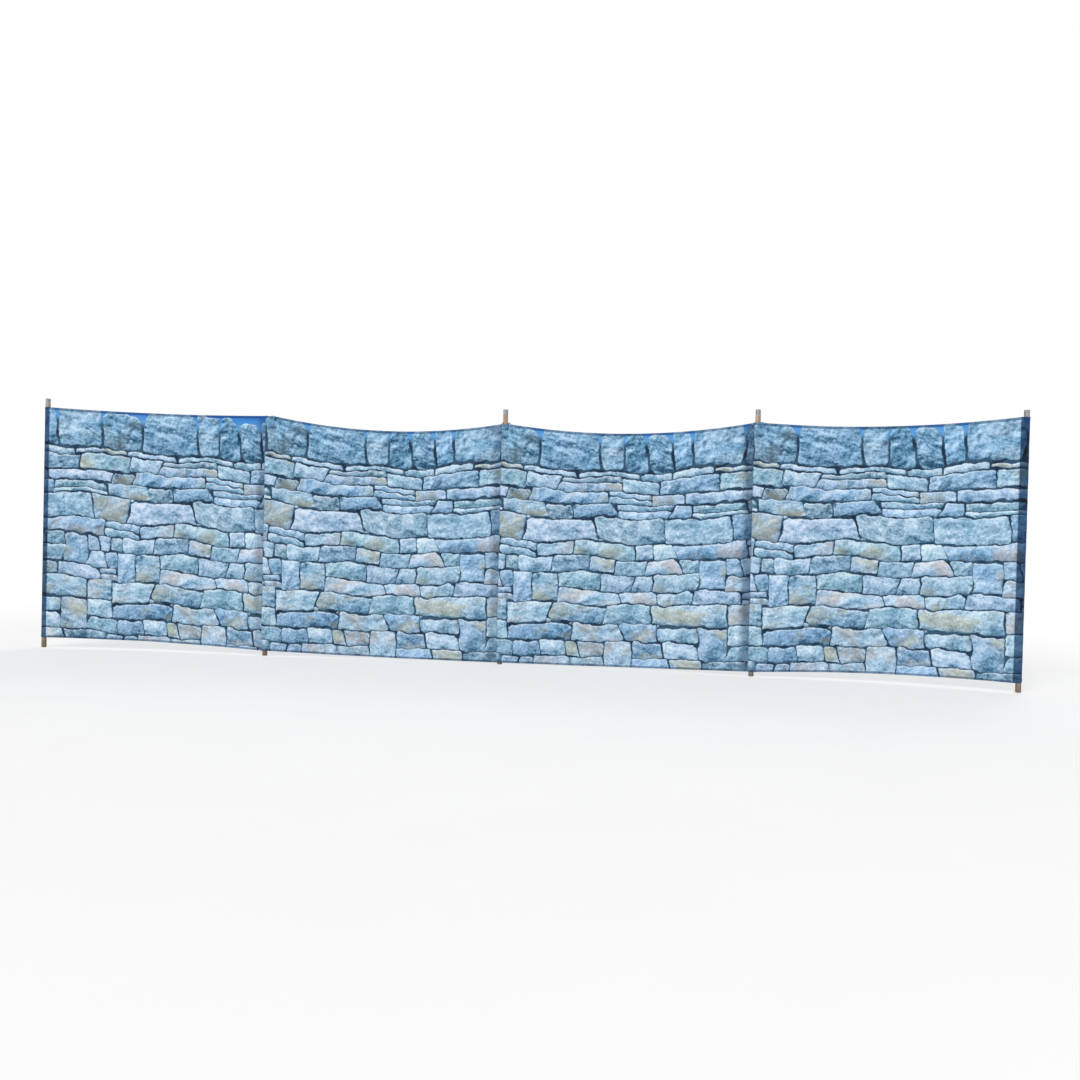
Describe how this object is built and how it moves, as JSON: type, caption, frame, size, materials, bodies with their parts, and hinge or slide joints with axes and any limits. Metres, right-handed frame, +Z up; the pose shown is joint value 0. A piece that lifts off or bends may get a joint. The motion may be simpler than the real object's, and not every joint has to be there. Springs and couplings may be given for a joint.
{
  "type": "beach windbreak",
  "caption": "Long low beach windbreak of printed cloth bays held between round wooden poles, with a dry-stone wall print and slack top edge.",
  "frame": {"origin": "middle of the third pole's flat foot, at ground level", "axes": "+X along the windbreak from its first to its last pole, +Y to the back, where the poles and pockets are, +Z up"},
  "size_m": [4.8412, 0.1731, 1.297],
  "materials": {
    "pole_wood": "turned softwood, weathered, unvarnished",
    "cap_steel": "zinc plated, dulled",
    "pocket_cloth": "plain woven polyester, doubled",
    "printed_cloth": "plain woven polyester with a printed stone wall pattern",
    "hem_cloth": "plain woven polyester, folded and stitched"
  },
  "bodies": {
    "root": {"pole_1": "pole_wood", "pole_2": "pole_wood", "pole_3": "pole_wood", "pole_4": "pole_wood", "pole_5": "pole_wood", "pole_cap_1": "cap_steel", "pole_cap_2": "cap_steel", "pole_cap_3": "cap_steel", "pole_cap_4": "cap_steel", "pole_cap_5": "cap_steel", "pocket_1": "pocket_cloth", "pocket_2": "pocket_cloth", "pocket_3": "pocket_cloth", "pocket_4": "pocket_cloth", "pocket_5": "pocket_cloth", "cloth_panel_1": "printed_cloth", "cloth_panel_2": "printed_cloth", "cloth_panel_3": "printed_cloth", "cloth_panel_4": "printed_cloth", "top_hem_1": "hem_cloth", "top_hem_2": "hem_cloth", "top_hem_3": "hem_cloth", "top_hem_4": "hem_cloth", "bottom_hem_1": "hem_cloth", "bottom_hem_2": "hem_cloth", "bottom_hem_3": "hem_cloth", "bottom_hem_4": "hem_cloth"}
  },
  "joints": []
}
